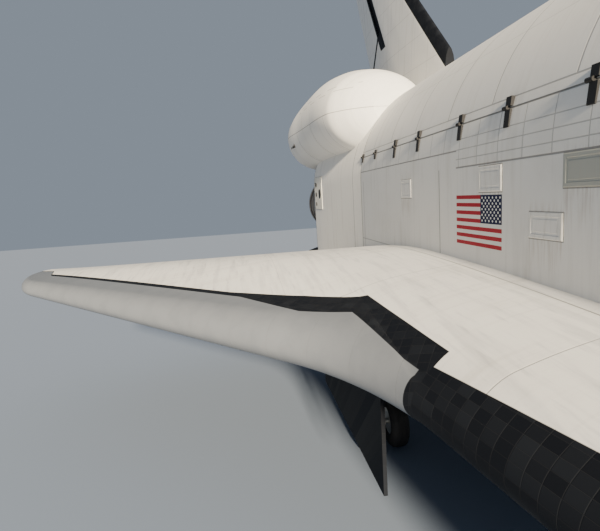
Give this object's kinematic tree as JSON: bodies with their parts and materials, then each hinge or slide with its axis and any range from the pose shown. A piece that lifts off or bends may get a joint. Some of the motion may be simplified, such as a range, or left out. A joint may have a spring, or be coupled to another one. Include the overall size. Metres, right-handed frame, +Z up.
{
  "type": "space shuttle orbiter",
  "caption": "Winged space shuttle on its landing gear, with opening cargo bay doors, side hatch, hinged control surfaces and swinging engines.",
  "frame": {"origin": "middle of the whole body's box in plan, on the floor under the tyres", "axes": "+Y towards the tail with the nose at -Y, +Z up, +X to the port side"},
  "size_m": [23.792, 36.4664, 17.227],
  "materials": {
    "white_skin": "matte",
    "black_tile": "matte",
    "grey_edge": "satin",
    "window_glass": "gloss",
    "nozzle_metal": "satin",
    "gear_metal": "satin",
    "wheel_metal": "satin",
    "tyre_rubber": "matte",
    "cabin_metal": "matte",
    "seat_fabric": "matte"
  },
  "bodies": {
    "airframe": {"nose_cap": "grey_edge", "nose_thruster_module": "white_skin", "forward_fuselage": "white_skin", "windshield_glass": "window_glass", "roof_window_glass": "window_glass", "bay_window_glass": "window_glass", "flight_deck": "cabin_metal", "crew_seat_port": "seat_fabric", "crew_seat_starboard": "seat_fabric", "mid_fuselage": "white_skin", "aft_fuselage": "white_skin", "engine_pod_port": "white_skin", "engine_pod_starboard": "white_skin", "pod_nozzle_port": "nozzle_metal", "pod_nozzle_starboard": "nozzle_metal", "fin": "white_skin", "wing_port": "white_skin", "wing_starboard": "white_skin", "wing_edge_panels_port": "grey_edge", "wing_edge_panels_starboard": "grey_edge", "nose_leg": "gear_metal", "main_leg_port": "gear_metal", "main_leg_starboard": "gear_metal", "nose_gear_door_port": "black_tile", "nose_gear_door_starboard": "black_tile", "main_gear_door_port": "black_tile", "main_gear_door_starboard": "black_tile"},
    "side_hatch": {"side_hatch": "white_skin", "hatch_glass": "window_glass"},
    "bay_door_port": {"bay_door_port": "white_skin"},
    "bay_door_starboard": {"bay_door_starboard": "white_skin"},
    "main_engine_top": {"main_engine_top": "nozzle_metal"},
    "main_engine_port": {"main_engine_port": "nozzle_metal"},
    "main_engine_starboard": {"main_engine_starboard": "nozzle_metal"},
    "body_flap": {"body_flap": "black_tile"},
    "rudder": {"rudder_tube": "black_tile"},
    "rudder_half_port": {"rudder_half_port": "white_skin"},
    "rudder_half_starboard": {"rudder_half_starboard": "white_skin"},
    "elevon_inner_port": {"elevon_inner_port": "white_skin"},
    "elevon_inner_starboard": {"elevon_inner_starboard": "white_skin"},
    "elevon_outer_port": {"elevon_outer_port": "white_skin"},
    "elevon_outer_starboard": {"elevon_outer_starboard": "white_skin"},
    "nose_fork": {"nose_fork": "gear_metal"},
    "nose_wheels": {"nose_rims": "wheel_metal", "nose_tyre_port": "tyre_rubber", "nose_tyre_starboard": "tyre_rubber"},
    "main_wheels_port": {"main_rims_port": "wheel_metal", "main_tyre_outer_port": "tyre_rubber", "main_tyre_inner_port": "tyre_rubber"},
    "main_wheels_starboard": {"main_rims_starboard": "wheel_metal", "main_tyre_outer_starboard": "tyre_rubber", "main_tyre_inner_starboard": "tyre_rubber"}
  },
  "joints": [
    {"name": "nose_steer", "type": "hinge", "parent": "airframe", "child": "nose_fork", "pos_m": [0, -14.48697, 1.13418], "axis": [0, -0.0593, 0.9982], "range_deg": [-10, 10]},
    {"name": "nose_wheels_roll", "type": "hinge", "parent": "nose_fork", "child": "nose_wheels", "pos_m": [0, -14.44343, 0.4013], "axis": [1, 0, 0], "continuous": true},
    {"name": "main_wheels_port_roll", "type": "hinge", "parent": "airframe", "child": "main_wheels_port", "pos_m": [3.455, 5.7508, 0.55834], "axis": [1, 0, 0], "continuous": true},
    {"name": "main_wheels_starboard_roll", "type": "hinge", "parent": "airframe", "child": "main_wheels_starboard", "pos_m": [-3.455, 5.7508, 0.55834], "axis": [1, 0, 0], "continuous": true},
    {"name": "bay_door_port_open", "type": "hinge", "parent": "airframe", "child": "bay_door_port", "pos_m": [2.62332, -0.44073, 6.04896], "axis": [0, 0.9982, 0.0593], "range_deg": [0, 175.5]},
    {"name": "bay_door_starboard_open", "type": "hinge", "parent": "airframe", "child": "bay_door_starboard", "pos_m": [-2.62332, -0.44073, 6.04896], "axis": [0, -0.9982, -0.0593], "range_deg": [0, 175.5]},
    {"name": "side_hatch_open", "type": "hinge", "parent": "airframe", "child": "side_hatch", "pos_m": [2.59568, -11.34298, 3.31849], "axis": [0, 0.9982, 0.0593], "range_deg": [0, 100]},
    {"name": "elevon_inner_port_turn", "type": "hinge", "parent": "airframe", "child": "elevon_inner_port", "pos_m": [2.667, 11.04294, 3.56254], "axis": [0.9992, -0.0024, 0.0404], "range_deg": [-25, 40]},
    {"name": "elevon_inner_starboard_turn", "type": "hinge", "parent": "airframe", "child": "elevon_inner_starboard", "pos_m": [-2.667, 11.04294, 3.56254], "axis": [0.9992, 0.0024, -0.0404], "range_deg": [-25, 40]},
    {"name": "elevon_outer_port_turn", "type": "hinge", "parent": "airframe", "child": "elevon_outer_port", "pos_m": [2.667, 11.04294, 3.56254], "axis": [0.9992, -0.0024, 0.0404], "range_deg": [-25, 40]},
    {"name": "elevon_outer_starboard_turn", "type": "hinge", "parent": "airframe", "child": "elevon_outer_starboard", "pos_m": [-2.667, 11.04294, 3.56254], "axis": [0.9992, 0.0024, -0.0404], "range_deg": [-25, 40]},
    {"name": "body_flap_turn", "type": "hinge", "parent": "airframe", "child": "body_flap", "pos_m": [0, 14.7251, 3.68614], "axis": [1, 0, 0], "range_deg": [-22.55, 11.7]},
    {"name": "rudder_turn", "type": "hinge", "parent": "airframe", "child": "rudder", "pos_m": [0, 13.94728, 11.94955], "axis": [0, 0.5215, 0.8532], "range_deg": [-27.1, 27.1]},
    {"name": "speedbrake_port_open", "type": "hinge", "parent": "rudder", "child": "rudder_half_port", "pos_m": [0, 13.94728, 11.94955], "axis": [0, -0.5215, -0.8532], "range_deg": [0, 49.3]},
    {"name": "speedbrake_starboard_open", "type": "hinge", "parent": "rudder", "child": "rudder_half_starboard", "pos_m": [0, 13.94728, 11.94955], "axis": [0, 0.5215, 0.8532], "range_deg": [0, 49.3]},
    {"name": "main_engine_top_swing", "type": "hinge", "parent": "airframe", "child": "main_engine_top", "pos_m": [0, 12.29161, 7.38232], "axis": [1, 0, 0], "range_deg": [-10.5, 10.5]},
    {"name": "main_engine_port_swing", "type": "hinge", "parent": "airframe", "child": "main_engine_port", "pos_m": [1.346, 13.0267, 4.85647], "axis": [1, 0, 0], "range_deg": [-10.5, 10.5]},
    {"name": "main_engine_starboard_swing", "type": "hinge", "parent": "airframe", "child": "main_engine_starboard", "pos_m": [-1.346, 13.0267, 4.85647], "axis": [1, 0, 0], "range_deg": [-10.5, 10.5]}
  ],
  "couplings": [
    {"joint": "speedbrake_starboard_open", "follows": "speedbrake_port_open", "ratio": 1}
  ]
}
